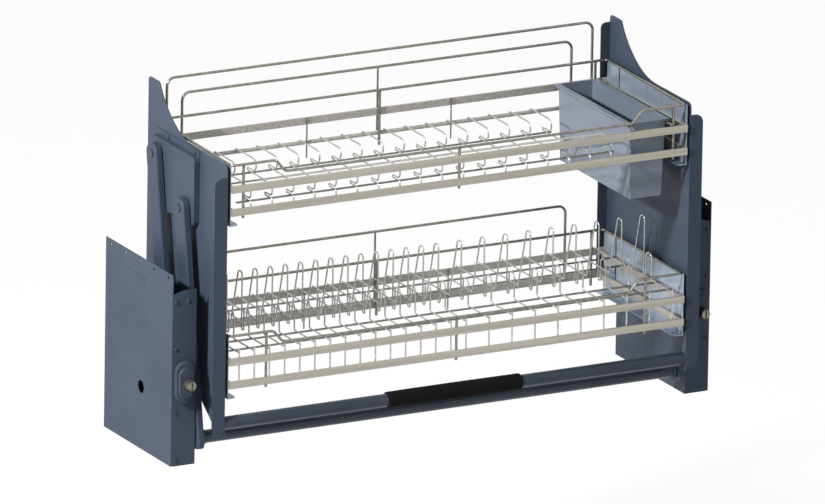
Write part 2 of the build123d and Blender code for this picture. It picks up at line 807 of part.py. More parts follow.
# Bowl basket

def bowl_rear_bars():
    """The upper flat bar along the rear and the round rod below it."""
    rod_end_x = bar_end_x - rear_rod_inset
    rod = rod_x(rear_rod_radius, -rod_end_x, rod_end_x, rear_rod_y, rear_rod_z)
    return group([upper_rear_bar(upper_bar_z), rod])


def bowl_wire():
    """Cross wire: over the rear rod, a rolled step, the floor, a ramp and a rolled front step."""
    hook_y = rear_rod_y + rear_rod_radius + weld_gap + cross_radius
    reach_y = rear_bar_y - bowl_step_reach
    return_y = reach_y + bowl_curl_return
    neck_z = bowl_floor_z + bowl_curl_gap
    front_top_z = upper_bar_z + bowl_front_step_rise
    fold_z = upper_bar_z + bowl_front_fold_rise
    front_neck_z = fold_z + bowl_curl_gap
    front_return_y = front_wire_y + bowl_front_return
    points = [
        (hook_y, bowl_step_z - bowl_hook_drop), (hook_y, bowl_step_z), (reach_y, bowl_step_z),
        (reach_y, neck_z), (return_y, neck_z), (return_y, bowl_floor_z),
        (bowl_ramp_foot_y, bowl_floor_z), (bowl_ramp_top_y, front_top_z),
        (front_wire_y, front_top_z), (front_wire_y, front_neck_z), (front_return_y, front_neck_z),
        (front_return_y, fold_z), (front_wire_y, fold_z),
        (front_wire_y, upper_bar_z - bar_height / 2),
    ]
    hook = rear_rod_radius + weld_gap + cross_radius
    curl = (bowl_step_z - neck_z) / 2 - weld_gap
    front_curl = (front_top_z - front_neck_z) / 2 - weld_gap
    tight = bowl_curl_gap / 2 - weld_gap
    radii = [hook, curl, curl, tight, tight, bowl_ramp_round, bowl_ramp_round, front_curl,
             front_curl, tight, tight, bowl_front_round]
    return bent_wire([(0, y, z) for y, z in points], radii, cross_radius)


def bowl_wires():
    """All cross wires of the bowl basket."""
    first_x = -bar_end_x + bowl_wire_left_inset
    last_x = box_left_x - box_flange_width - bowl_wire_box_gap
    count = wires_in_row(first_x, last_x, bowl_wire_pitch)
    return row_of(bowl_wire(), first_x, bowl_wire_pitch, count)


def bowl_rails():
    """Wires along the bowl basket below its cross wires."""
    left_x = -bar_end_x + bowl_rail_left_inset
    right_x = box_left_x - box_flange_width - bowl_rail_box_gap
    low = [rod_x(rail_radius, left_x, right_x, y, bowl_rail_z)
           for y in (bowl_rear_rail_y, bowl_middle_rail_y)]
    fold_rail_z = upper_bar_z + bowl_front_fold_rise - cross_radius - weld_gap - rail_radius
    front = rod_x(rail_radius, left_x, right_x, front_wire_y + bowl_front_rail_gap, fold_rail_z)
    return group(low + [front])


def cradle():
    """Two wires across the bowl basket on which the cutlery box hangs by its flange."""
    near_x = box_left_x - cradle_radius - grip_clearance
    far_x = box_right_x + cradle_radius + grip_clearance
    return group([rod_y(cradle_radius, x, front_bar_y, rear_bar_face_y - weld_gap, cradle_z)
                  for x in (near_x, far_x)])


def tapered_tub(inset, bottom_z, top_z):
    """Solid with straight flanks that narrows towards the bottom."""
    middle_x = (box_left_x + box_right_x) / 2
    middle_y = (box_front_y + box_rear_y) / 2
    width = box_right_x - box_left_x - 2 * inset
    depth = box_rear_y - box_front_y - 2 * inset
    top = Plane(origin=(middle_x, middle_y, top_z)) * Rectangle(width, depth)
    low = Plane(origin=(middle_x, middle_y, bottom_z)) * Rectangle(width - 2 * box_taper,
                                                                   depth - 2 * box_taper)
    return loft([low, top], ruled=True)


def cutlery_box():
    """Open tub with a flange along both long edges of its top."""
    tub = tapered_tub(0, box_bottom_z, box_top_z)
    tub += block((box_left_x - box_flange_width, box_front_y, box_top_z - box_flange_thickness),
                 (box_right_x + box_flange_width, box_rear_y, box_top_z))
    tub -= tapered_tub(box_wall, box_bottom_z + box_wall, box_top_z)
    return tub


# Plate basket

def plate_rear_bars():
    """The lower and the upper flat bar along the rear."""
    lower = long_bar(rear_bar_y, lower_bar_z + rear_bar_rise, rear_bar_thickness)
    return group([lower, upper_rear_bar(lower_bar_z)])


def plate_wire():
    """One divider: front upright, floor, short loop, tall loop and floor on to the rear bar."""
    foot_z = plate_floor_z + loop_foot_rise
    short_z = plate_floor_z + short_loop_rise
    tall_z = plate_floor_z + tall_loop_rise
    points = [
        (front_wire_y, plate_floor_z), (short_loop_front_y, plate_floor_z),
        (short_loop_front_y, short_z), (short_loop_rear_y, short_z),
        (short_loop_rear_y, foot_z), (tall_loop_front_y, foot_z),
        (tall_loop_front_y, tall_z), (tall_loop_rear_y, tall_z),
        (tall_loop_foot_y, plate_floor_z), (rear_bar_back_y, plate_floor_z),
    ]
    radii = [plate_turn_round, short_loop_round, short_loop_round, loop_foot_round,
             loop_foot_round, tall_loop_front_round, tall_loop_rear_round, plate_turn_round]
    wire = bent_wire([(0, y, z) for y, z in points], radii, cross_radius)
    rim_z, fall = lower_rim
    upright_top_z = rim_z - fall - rim_drop - rim_radius - weld_gap
    upright = rod_z(cross_radius, 0, front_wire_y, lower_bar_z - bar_height / 2, upright_top_z)
    return wire + upright


def plate_rails():
    """Wires along the plate basket below the dividers."""
    end_x = bar_end_x - bar_thickness - weld_gap
    return group([rod_x(rail_radius, -end_x, end_x, y, plate_rail_z) for y in plate_rail_places])


def write_housings():
    """The pieces that stay fixed to the cabinet, and the adjusters and springs in them."""
    write_pair("housing", housing())
    write_pair("cover", cover())
    write_both("housing_screws", housing_screws())
    write_pair("adjuster_boss", adjuster_boss())
    write_pair("adjuster_knob", adjuster_knob())
    write_pair("tension_block", tension_block())
    write_pair("balance_spring", balance_spring())
    write_pair("pivot_bushes", bushes())


def write_arms():
    """The arms, their lower pins and cranks, and the shaft that ties the front arms."""
    write_pair("front_arm", arm(front_pivot, pivot_clearance))
    write_pair("rear_arm", arm(rear_pivot, open_pivot_clearance))
    write_pair("front_lower_pin", lower_pin(front_pivot, arm_inner_x))
    write_pair("rear_lower_pin", lower_pin(rear_pivot, arm_inner_x))
    write_pair("crank", crank())
    write("sync_shaft", sync_shaft())


def write_rack():
    """The panels with their brackets and pins, and the handle."""
    write_pair("panel", panel())
    write_pair("bracket", bracket())
    write_both("bracket_screws", bracket_screws())
    write_both("upper_pins", group([upper_pin(front_pivot), upper_pin(rear_pivot)]))
    write("handle_bar", handle_bar())
    write("foam_grip", foam_grip())


def write_basket(name, bar_z, rim_place, front_inset, rear_inset):
    """The pieces that both baskets have."""
    write(f"{name}_front_bars", front_bars(bar_z))
    write(f"{name}_end_bars", end_bars(bar_z))
    write(f"{name}_rim", rim(rim_place))
    write(f"{name}_posts", posts(bar_z, rim_place, front_inset, rear_inset))
    write(f"{name}_end_sheets", end_sheets(bar_z, rim_place))
    write(f"{name}_spacers", spacers(bar_z))


def write_bowl_basket():
    """The bowl basket's own pieces and the cutlery box."""
    write_basket("bowl", upper_bar_z, upper_rim, upper_post_inset, upper_post_inset)
    write("bowl_rear_bars", bowl_rear_bars())
    foot_z = rear_rod_z + rear_rod_radius + weld_gap
    tall_x = bar_end_x - tall_guard_inset
    tall_top_z = upper_bar_z + tall_guard_above_bar
    low_top_z = tall_top_z - low_guard_drop
    write("bowl_tall_guard", guard(-tall_x, tall_x, foot_z, tall_top_z))
    low_guard = guard(-bar_end_x + low_guard_left_inset, bar_end_x - low_guard_right_inset,
                      foot_z, low_top_z)
    write("bowl_low_guard", low_guard + guard_leg(foot_z, low_top_z))
    write("bowl_cross_wires", bowl_wires())
    write("bowl_rails", bowl_rails())
    write("box_cradle", cradle())
    write("cutlery_box", cutlery_box())


def write_plate_basket():
    """The plate basket's own pieces."""
    write_basket("plate", lower_bar_z, lower_rim, lower_front_post_inset, lower_rear_post_inset)
    write("plate_rear_bars", plate_rear_bars())
    foot_z = lower_bar_z + rear_bar_rise - bar_height / 2
    top_z = lower_bar_z + lower_guard_above_bar
    arch = guard(-bar_end_x + lower_guard_left_inset, bar_end_x - lower_guard_right_inset,
                 foot_z, top_z)
    write("plate_guard", arch + guard_leg(foot_z, top_z))
    first_x = -bar_end_x + narrow_wire_left_inset
    narrow_count = wires_in_row(first_x, narrow_row_end_x, narrow_wire_pitch)
    wide_first_x = first_x + (narrow_count - 1) * narrow_wire_pitch + wide_wire_pitch
    wide_count = wires_in_row(wide_first_x, bar_end_x - wide_wire_right_inset, wide_wire_pitch)
    wire = plate_wire()
    write("plate_narrow_dividers", row_of(wire, first_x, narrow_wire_pitch, narrow_count))
    write("plate_wide_dividers", row_of(wire, wide_first_x, wide_wire_pitch, wide_count))
    write("plate_rails", plate_rails())


os.makedirs("parts", exist_ok=True)
write_housings()
write_arms()
write_rack()
write_bowl_basket()
write_plate_basket()
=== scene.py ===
"""Finishes, soft pieces and studio for the pull-down dish rack.

The rack's folded panels, arms, bars and wires come from the frame and get their finishes here.
The foam grip, the balance springs, the weld beads and the screw heads are modelled here.
Lengths are metres, +X to the right, +Y to the rear of the cabinet, +Z up.
"""
import logging
import math
from dataclasses import dataclass, field
from enum import Enum

import bmesh
import bpy
from mathutils import Matrix, Vector, noise


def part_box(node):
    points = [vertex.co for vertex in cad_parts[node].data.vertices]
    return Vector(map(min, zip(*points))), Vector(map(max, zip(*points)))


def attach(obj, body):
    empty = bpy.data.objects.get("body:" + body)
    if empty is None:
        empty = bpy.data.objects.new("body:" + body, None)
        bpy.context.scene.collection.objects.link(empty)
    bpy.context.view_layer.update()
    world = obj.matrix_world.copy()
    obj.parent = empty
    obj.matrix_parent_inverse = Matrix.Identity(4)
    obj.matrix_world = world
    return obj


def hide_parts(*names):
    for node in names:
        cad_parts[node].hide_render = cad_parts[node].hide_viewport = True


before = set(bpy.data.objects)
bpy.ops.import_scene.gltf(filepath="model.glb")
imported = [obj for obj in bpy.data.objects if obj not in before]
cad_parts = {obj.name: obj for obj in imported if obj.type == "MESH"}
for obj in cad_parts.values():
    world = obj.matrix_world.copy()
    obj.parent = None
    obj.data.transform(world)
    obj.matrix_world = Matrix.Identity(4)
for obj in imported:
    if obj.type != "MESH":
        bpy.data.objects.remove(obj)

LOG = logging.getLogger("dish_rack")
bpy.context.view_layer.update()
MM = 0.001
SMALL = 1e-6
SAME_PLACE = 0.01 * MM

Colour = tuple[float, float, float]
Point = tuple[float, float, float]


class Side(Enum):
    """The two ends of the rack, with the sign of their X."""

    LEFT = -1
    RIGHT = 1

    @property
    def word(self) -> str:
        """Name the side.

        Returns:
            The word that starts the side's node names.
        """
        return self.name.lower()


class Grain(Enum):
    """Which way a finish runs, as the stretch of its noise along X, Y and Z."""

    EVEN = (1.0, 1.0, 1.0)
    ALONG_X = (0.02, 1.0, 1.0)
    ALONG_Y = (1.0, 0.02, 1.0)
    UPRIGHT = (1.0, 1.0, 0.03)


@dataclass(frozen=True)
class Finish:
    """A finish made of three noise layers on one shader: tone, gloss and relief.

    Attributes:
        name: Name of the material.
        dark: Linear colour of the tone layer's low end.
        light: Linear colour of the tone layer's high end.
        metallic: Metal share of the shader.
        roughness: Lowest and highest roughness.
        grain: Which way the finish runs.
        tone_scale: Noise scale of the tone layer, per metre.
        relief_scale: Noise scale of the relief layer, per metre.
        relief: Strength of the bump.
        relief_depth: Depth of the bump in metres.
        coat: Weight of the clear coat.
        scuff: Share by which rare scuffs lighten the tone.
        specular: Level of the surface's plain reflection, 0.5 being that of clear plastic.
        spread: Part of the noise's range that the tone and gloss layers use.
        scuff_spread: Part of the noise's range in which a scuff comes up.
        scuff_scale: Noise scale of the scuffs as a multiple of the tone layer's.
        scuff_gain: Brightness of a scuff as a multiple of the light tone.
        gloss_scale: Noise scale of the gloss layer as a multiple of the tone layer's.
        tone_detail: Octaves of the tone layer.
        scuff_detail: Octaves of the scuffs.
        fine_detail: Octaves of the gloss and relief layers.
    """

    name: str
    dark: Colour
    light: Colour
    metallic: float = 0.0
    roughness: tuple[float, float] = (0.4, 0.5)
    grain: Grain = Grain.EVEN
    tone_scale: float = 30.0
    relief_scale: float = 900.0
    relief: float = 0.2
    relief_depth: float = 0.0002
    coat: float = 0.0
    scuff: float = 0.0
    specular: float = 0.5
    spread: tuple[float, float] = (0.3, 0.7)
    scuff_spread: tuple[float, float] = (0.62, 0.8)
    scuff_scale: float = 2.3
    scuff_gain: float = 2.2
    gloss_scale: float = 4.0
    tone_detail: float = 4.0
    scuff_detail: float = 8.0
    fine_detail: float = 3.0

    def material(self) -> bpy.types.Material:
        """Build the material.

        Returns:
            A new material with the finish's three noise layers.
        """
        material = bpy.data.materials.new(self.name)
        material.use_nodes = True
        tree = material.node_tree
        shader = tree.nodes["Principled BSDF"]
        shader.inputs["Metallic"].default_value = self.metallic
        shader.inputs["Coat Weight"].default_value = self.coat
        shader.inputs["Specular IOR Level"].default_value = self.specular
        place = tree.nodes.new("ShaderNodeTexCoord")
        stretch = tree.nodes.new("ShaderNodeMapping")
        stretch.inputs["Scale"].default_value = self.grain.value
        tree.links.new(place.outputs["Object"], stretch.inputs["Vector"])
        self.add_tone(tree, shader, stretch)
        self.add_gloss(tree, shader, stretch)
        self.add_relief(tree, shader, stretch)
        return material

    def layer(self, tree: bpy.types.NodeTree, source: bpy.types.Node, scale: float,
              detail: float) -> bpy.types.NodeSocket:
        """Add one noise texture.

        Args:
            tree: Node tree of the material.
            source: Node that gives the texture's coordinates.
            scale: Noise scale per metre.
            detail: Number of octaves.

        Returns:
            The noise's value socket.
        """
        texture = tree.nodes.new("ShaderNodeTexNoise")
        texture.inputs["Scale"].default_value = scale
        texture.inputs["Detail"].default_value = detail
        tree.links.new(source.outputs["Vector"], texture.inputs["Vector"])
        return texture.outputs["Fac"]

    def add_tone(self, tree: bpy.types.NodeTree, shader: bpy.types.Node,
                 source: bpy.types.Node) -> None:
        """Vary the base colour between the dark and the light tone, with rare scuffs.

        Args:
            tree: Node tree of the material.
            shader: The material's shader.
            source: Node that gives the texture's coordinates.
        """
        ramp = tree.nodes.new("ShaderNodeValToRGB")
        ramp.color_ramp.elements[0].position = self.spread[0]
        ramp.color_ramp.elements[0].color = (*self.dark, 1.0)
        ramp.color_ramp.elements[1].position = self.spread[1]
        ramp.color_ramp.elements[1].color = (*self.light, 1.0)
        tone = self.layer(tree, source, self.tone_scale, self.tone_detail)
        tree.links.new(tone, ramp.inputs["Fac"])
        if not self.scuff:
            tree.links.new(ramp.outputs["Color"], shader.inputs["Base Color"])
            return
        rare = tree.nodes.new("ShaderNodeMapRange")
        rare.inputs["From Min"].default_value = self.scuff_spread[0]
        rare.inputs["From Max"].default_value = self.scuff_spread[1]
        rare.inputs["To Max"].default_value = self.scuff
        scuffs = self.layer(tree, source, self.tone_scale * self.scuff_scale, self.scuff_detail)
        tree.links.new(scuffs, rare.inputs["Value"])
        mix = tree.nodes.new("ShaderNodeMix")
        mix.data_type = "RGBA"
        bright = [min(1.0, self.scuff_gain * part) for part in self.light]
        mix.inputs["B"].default_value = (*bright, 1.0)
        tree.links.new(rare.outputs["Result"], mix.inputs["Factor"])
        tree.links.new(ramp.outputs["Color"], mix.inputs["A"])
        tree.links.new(mix.outputs["Result"], shader.inputs["Base Color"])

    def add_gloss(self, tree: bpy.types.NodeTree, shader: bpy.types.Node,
                  source: bpy.types.Node) -> None:
        """Vary the roughness between its two values.

        Args:
            tree: Node tree of the material.
            shader: The material's shader.
            source: Node that gives the texture's coordinates.
        """
        spread = tree.nodes.new("ShaderNodeMapRange")
        spread.inputs["From Min"].default_value = self.spread[0]
        spread.inputs["From Max"].default_value = self.spread[1]
        spread.inputs["To Min"].default_value = self.roughness[0]
        spread.inputs["To Max"].default_value = self.roughness[1]
        gloss = self.layer(tree, source, self.tone_scale * self.gloss_scale, self.fine_detail)
        tree.links.new(gloss, spread.inputs["Value"])
        tree.links.new(spread.outputs["Result"], shader.inputs["Roughness"])

    def add_relief(self, tree: bpy.types.NodeTree, shader: bpy.types.Node,
                   source: bpy.types.Node) -> None:
        """Add the fine bump.

        Args:
            tree: Node tree of the material.
            shader: The material's shader.
            source: Node that gives the texture's coordinates.
        """
        bump = tree.nodes.new("ShaderNodeBump")
        bump.inputs["Strength"].default_value = self.relief
        bump.inputs["Distance"].default_value = self.relief_depth
        height = self.layer(tree, source, self.relief_scale, self.fine_detail)
        tree.links.new(height, bump.inputs["Height"])
        tree.links.new(bump.outputs["Normal"], shader.inputs["Normal"])


@dataclass
class Finishes:
    """The finishes of the rack, built once and shared by its pieces.

    Attributes:
        powder: Powder coat of the housings, covers, panels and brackets.
        arm_paint: Paint of the swing arms.
        pin_paint: Paint of the pins and screw heads.
        tube_paint: Paint of the handle bar and the sync shaft.
        moulding: Plastic of the load adjusters' guides.
        zinc: Plated steel of the knobs, blocks, cranks and springs.
        nylon: Plastic of the pivot bushes.
        foam: Skin of the grip.
        tub: Plastic of the cutlery box.
        bar: Satin steel of the front bars.
        rear_bar: Mottled steel of the rear bars.
        end_bar: Satin steel of the end bars.
        wire: Bright steel of the cross wires and dividers.
        rim: Steel of the rims, guards, posts and spacers.
        rail: Darker steel of the rails and the box's cradle.
        weld: Heat-tinted steel of the weld beads.
        sheet: Polished steel of the end sheets.
        built: Materials built so far, by field name.
    """

    powder: Finish = Finish("powder_coat", (0.033, 0.046, 0.070), (0.041, 0.056, 0.084),
                            roughness=(0.42, 0.55), tone_scale=9.0, relief_scale=1400.0,
                            relief=0.25, relief_depth=0.0001, scuff=0.05, specular=0.22)
    arm_paint: Finish = Finish("arm_paint", (0.029, 0.040, 0.062), (0.037, 0.050, 0.076),
                               roughness=(0.36, 0.48), tone_scale=12.0, relief_scale=1400.0,
                               relief=0.2, relief_depth=0.0001, scuff=0.08, specular=0.22)
    pin_paint: Finish = Finish("pin_paint", (0.023, 0.032, 0.048), (0.042, 0.056, 0.080),
                               roughness=(0.3, 0.45), tone_scale=120.0, relief_scale=1600.0,
                               relief=0.2, relief_depth=0.0001, scuff=0.2, specular=0.22)
    tube_paint: Finish = Finish("tube_paint", (0.022, 0.031, 0.046), (0.031, 0.043, 0.063),
                                roughness=(0.26, 0.38), tone_scale=14.0, relief_scale=1400.0,
                                relief=0.15, relief_depth=0.0001, coat=0.15, specular=0.22)
    moulding: Finish = Finish("moulded_guide", (0.035, 0.047, 0.068), (0.044, 0.058, 0.083),
                              roughness=(0.4, 0.55), tone_scale=40.0, relief_scale=2600.0,
                              relief=0.3, relief_depth=0.0001, specular=0.22)
    zinc: Finish = Finish("zinc_steel", (0.15, 0.15, 0.12), (0.30, 0.29, 0.235), metallic=0.9,
                          roughness=(0.28, 0.45), tone_scale=180.0, relief_scale=1800.0,
                          relief=0.25, relief_depth=0.0001)
    nylon: Finish = Finish("nylon_bush", (0.02, 0.02, 0.02), (0.035, 0.035, 0.035),
                           roughness=(0.4, 0.55), tone_scale=60.0, relief_scale=2000.0)
    foam: Finish = Finish("foam_skin", (0.0025, 0.0025, 0.003), (0.010, 0.010, 0.011),
                          roughness=(0.75, 0.95), tone_scale=900.0, relief_scale=1300.0,
                          relief=0.9, relief_depth=0.0007, specular=0.08)
    tub: Finish = Finish("tub_plastic", (0.135, 0.163, 0.208), (0.155, 0.184, 0.232),
                         roughness=(0.34, 0.44), tone_scale=10.0, relief_scale=1500.0,
                         relief=0.12, relief_depth=0.0001, coat=0.08)
    bar: Finish = Finish("satin_bar", (0.36, 0.338, 0.292), (0.48, 0.452, 0.395), metallic=0.7,
                         roughness=(0.34, 0.48), grain=Grain.ALONG_X, tone_scale=160.0,
                         relief_scale=2400.0, relief=0.2, relief_depth=0.0001)
    rear_bar: Finish = Finish("mottled_bar", (0.24, 0.23, 0.21), (0.52, 0.50, 0.46),
                              metallic=0.45, roughness=(0.3, 0.5), tone_scale=420.0,
                              relief_scale=1500.0, relief=0.3, relief_depth=0.0001)
    end_bar: Finish = Finish("satin_end_bar", (0.34, 0.325, 0.29), (0.46, 0.44, 0.395),
                             metallic=0.7, roughness=(0.34, 0.48), grain=Grain.ALONG_Y,
                             tone_scale=160.0, relief_scale=2400.0, relief=0.2,
                             relief_depth=0.0001)
    wire: Finish = Finish("stainless_wire", (0.40, 0.40, 0.385), (0.58, 0.575, 0.55), metallic=0.9,
                          roughness=(0.2, 0.34), tone_scale=220.0, relief_scale=1800.0,
                          relief=0.15, relief_depth=0.0001)
    rim: Finish = Finish("rim_wire", (0.175, 0.165, 0.145), (0.315, 0.298, 0.265), metallic=0.9,
                         roughness=(0.2, 0.34), tone_scale=220.0, relief_scale=1800.0,
                         relief=0.15, relief_depth=0.0001)
    rail: Finish = Finish("rail_wire", (0.17, 0.17, 0.158), (0.27, 0.268, 0.25), metallic=0.9,
                          roughness=(0.2, 0.36), tone_scale=220.0, relief_scale=1800.0,
                          relief=0.15, relief_depth=0.0001)
    weld: Finish = Finish("weld_bead", (0.16, 0.15, 0.13), (0.40, 0.38, 0.34), metallic=0.9,
                          roughness=(0.3, 0.55), tone_scale=500.0, relief_scale=1200.0,
                          relief=0.5, relief_depth=0.0002)
    sheet: Finish = Finish("polished_sheet", (0.27, 0.325, 0.415), (0.36, 0.415, 0.50),
                           metallic=0.55, roughness=(0.26, 0.4), grain=Grain.UPRIGHT,
                           tone_scale=16.0, relief_scale=120.0, relief=0.12,
                           relief_depth=0.0002)
    built: dict[str, bpy.types.Material] = field(default_factory=dict)

    def get(self, name: str) -> bpy.types.Material:
        """Return the material of a finish, building it at first use.

        Args:
            name: Field name of the finish.

        Returns:
            The material.
        """
        if name not in self.built:
            self.built[name] = getattr(self, name).material()
        return self.built[name]


@dataclass
class Dresser:
    """Gives materials to pieces and reports them."""

    finishes: Finishes = field(default_factory=Finishes)

    def dress(self, piece: bpy.types.Object, finish: str) -> None:
        """Replace all the material slots of a piece by one finish.

        Args:
            piece: Mesh or curve object.
            finish: Field name of the finish.
        """
        material = self.finishes.get(finish)
        if not piece.material_slots:
            piece.data.materials.append(material)
        for slot in piece.material_slots:
            slot.link = "OBJECT"
            slot.material = material

    def nodes(self, names: list[str], finish: str) -> None:
        """Dress nodes of the frame.

        Args:
            names: Node names.
            finish: Field name of the finish.
        """
        for name in names:
            self.dress(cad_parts[name], finish)
            LOG.info("%s: %s", name, finish)

    def add(self, piece: bpy.types.Object, body: str, slot: str, finish: str) -> None:
        """Dress a new piece and make it ride on its body.

        Args:
            piece: The new object.
            body: Name of the body that it moves with.
            slot: The record's material slot. Not used.
            finish: Field name of the finish.
        """
        self.dress(piece, finish)
        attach(piece, body)
        LOG.info("%s on %s: %s", piece.name, body, finish)


def both(name: str) -> list[str]:
    """Name the two nodes of a piece that both sides have.

    Args:
        name: Node name without its side.

    Returns:
        The left and the right node name.
    """
    return [f"{side.word}_{name}" for side in Side]


def mesh_object(name: str, shape: bmesh.types.BMesh, smooth: bool = True) -> bpy.types.Object:
    """Turn a bmesh into an object of the scene.

    Args:
        name: Name of the object and its mesh.
        shape: The geometry, which is freed.
        smooth: Whether faces are shaded smooth.

    Returns:
        The new object.
    """
    mesh = bpy.data.meshes.new(name)
    shape.to_mesh(mesh)
    shape.free()
    for face in mesh.polygons:
        face.use_smooth = smooth
    piece = bpy.data.objects.new(name, mesh)
    bpy.context.scene.collection.objects.link(piece)
    return piece


def add_ring(shape: bmesh.types.BMesh, points: list[Vector]) -> list[bmesh.types.BMVert]:
    """Add a ring of vertices to a bmesh.

    Args:
        shape: The bmesh.
        points: Places of the vertices in order.

    Returns:
        The new vertices in the same order.
    """
    return [shape.verts.new(point) for point in points]


def bridge(shape: bmesh.types.BMesh, rings: list[list[bmesh.types.BMVert]], closed: bool) -> None:
    """Join rings of equal length by quads.

    Args:
        shape: The bmesh that holds the rings.
        rings: The rings in order.
        closed: Whether the last ring joins the first one.
    """
    count = len(rings[0])
    last = len(rings) if closed else len(rings) - 1
    for index in range(last):
        here, there = rings[index], rings[(index + 1) % len(rings)]
        for step in range(count):
            after = (step + 1) % count
            shape.faces.new((here[step], here[after], there[after], there[step]))


@dataclass
class FoamGrip:
    """Closed-cell foam sleeve on the handle bar, a little swollen, with rounded ends.

    Attributes:
        sides: Vertices round the sleeve.
        steps: Rings along the sleeve.
        swell: How far the middle stands out of the ends.
        pores: Height of the skin's unevenness.
        pore_scale: Noise scale of the unevenness, per metre.
        end_round: Length over which each end is drawn in.
        end_depth_share: How deep the ends are drawn in, as a share of that length.
        bore_clearance: Gap between the handle bar and the sleeve.
        skin_margin: Gap between the skin's highest points and the sleeve's solid.
    """

    sides: int = 72
    steps: int = 150
    swell: float = 0.35 * MM
    pores: float = 0.22 * MM
    pore_scale: float = 420.0
    end_round: float = 2.4 * MM
    end_depth_share: float = 0.8
    bore_clearance: float = 0.15 * MM
    skin_margin: float = 0.05 * MM

    def build(self, dresser: Dresser) -> bpy.types.Object:
        """Model the sleeve in the space of its node.

        Args:
            dresser: Gives the sleeve its finish.

        Returns:
            The sleeve.
        """
        low, high = [Vector(corner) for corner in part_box("foam_grip")]
        bar_low, bar_high = [Vector(corner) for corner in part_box("handle_bar")]
        centre = (low + high) / 2
        outer = (high.z - low.z) / 2 - self.pores - self.skin_margin
        inner = (bar_high.y - bar_low.y) / 2 + self.bore_clearance
        half = (high.x - low.x) / 2
        shape = bmesh.new()
        rings = []
        for index in range(self.steps + 1):
            share = index / self.steps
            x = centre.x + half * (2 * share - 1)
            rings.append(self.ring(shape, x, centre, self.radius(share, outer, half)))
        for x in (centre.x + half, centre.x - half):
            rings.append(self.ring(shape, x, centre, inner, False))
        bridge(shape, rings, True)
        bmesh.ops.recalc_face_normals(shape, faces=shape.faces)
        piece = mesh_object("foam_grip_sleeve", shape)
        dresser.add(piece, "rack", "foam", "foam")
        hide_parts("foam_grip")
        return piece

    def radius(self, share: float, outer: float, half: float) -> float:
        """Find the outer radius at a place along the sleeve, drawn in at both ends.

        Args:
            share: Share of the length from the left end.
            outer: Radius at the middle.
            half: Half of the length.

        Returns:
            The radius.
        """
        from_end = min(share, 1 - share) * 2 * half
        drawn = max(0.0, 1 - from_end / self.end_round)
        pulled_in = self.end_round * self.end_depth_share * drawn ** 2
        return outer - self.swell * (2 * share - 1) ** 2 - pulled_in

    def ring(self, shape: bmesh.types.BMesh, x: float, centre: Vector, radius: float,
             uneven: bool = True) -> list[bmesh.types.BMVert]:
        """Add one ring of the sleeve.

        Args:
            shape: The bmesh.
            x: Place along the bar.
            centre: Middle of the sleeve.
            radius: Radius of the ring.
            uneven: Whether the skin's pores move its points.

        Returns:
            The ring's vertices.
        """
        points = []
        for step in range(self.sides):
            angle = 2 * math.pi * step / self.sides
            away = Vector((0, math.cos(angle), math.sin(angle)))
            place = Vector((x, *(away * radius).yz)) * self.pore_scale
            rough = noise.noise(place) * self.pores if uneven else 0
            points.append(Vector((x, centre.y, centre.z)) + away * (radius + rough))
        return add_ring(shape, points)


@dataclass
class BalanceSpring:
    """Wound extension spring in a housing.

    Attributes:
        turns: Number of coils.
        wire: Radius of the wire.
        sides: Vertices round the wire.
        per_turn: Rings in one coil.
        end_wires: Length left free at each end, as a multiple of the wire's radius.
    """

    turns: int = 24
    wire: float = 1.0 * MM
    sides: int = 8
    per_turn: int = 20
    end_wires: float = 2.0

    def build(self, side: Side, dresser: Dresser) -> bpy.types.Object:
        """Wind the spring in the space of its node.

        Args:
            side: Which housing holds the spring.
            dresser: Gives the spring its finish.

        Returns:
            The spring.
        """
        node = f"{side.word}_balance_spring"
        low, high = [Vector(corner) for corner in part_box(node)]
        radius = (high.z - low.z) / 2 - self.wire
        centre = (low + high) / 2
        count = self.turns * self.per_turn
        free = self.end_wires * self.wire
        span = high.y - low.y - 2 * free
        path = []
        for index in range(count + 1):
            angle = 2 * math.pi * index / self.per_turn
            y = low.y + free + span * index / count
            path.append(Vector((centre.x + radius * math.cos(angle), y,
                                centre.z + radius * math.sin(angle))))
        piece = wire_along(f"{node}_coil", path, self.wire, self.sides)
        dresser.add(piece, "housings", "zinc_steel", "zinc")
        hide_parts(node)
        return piece


def wire_along(name: str, path: list[Vector], radius: float, sides: int) -> bpy.types.Object:
    """Model a round wire along a path of points.

    Args:
        name: Name of the new object.
        path: Points of the wire's middle line.
        radius: Radius of the wire.
        sides: Vertices round the wire.

    Returns:
        The wire, closed at both ends.
    """
    shape = bmesh.new()
    rings = []
    for index, point in enumerate(path):
        ahead = path[min(index + 1, len(path) - 1)] - path[max(index - 1, 0)]
        turn = ahead.to_track_quat("Z", "Y")
        ring = [point + turn @ Vector((radius * math.cos(2 * math.pi * step / sides),
                                       radius * math.sin(2 * math.pi * step / sides), 0))
                for step in range(sides)]
        rings.append(add_ring(shape, ring))
    bridge(shape, rings, False)
    shape.faces.new(list(reversed(rings[0])))
    shape.faces.new(rings[-1])
    bmesh.ops.recalc_face_normals(shape, faces=shape.faces)
    return mesh_object(name, shape)


def wire_places(node: str, apart: float = 5 * MM) -> list[float]:
    """Find the X places of a row of wires from the mesh of their node.

    Args:
        node: Node that holds the wires.
        apart: Smallest distance between two wires.

    Returns:
        The middle of each wire along X.
    """
    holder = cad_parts[node]
    across = sorted((holder.matrix_world @ corner.co).x for corner in holder.data.vertices)
    rows = [[across[0]]]
    for x in across[1:]:
        if x - rows[-1][-1] > apart:
            rows.append([])
        rows[-1].append(x)
    return [(row[0] + row[-1]) / 2 for row in rows]


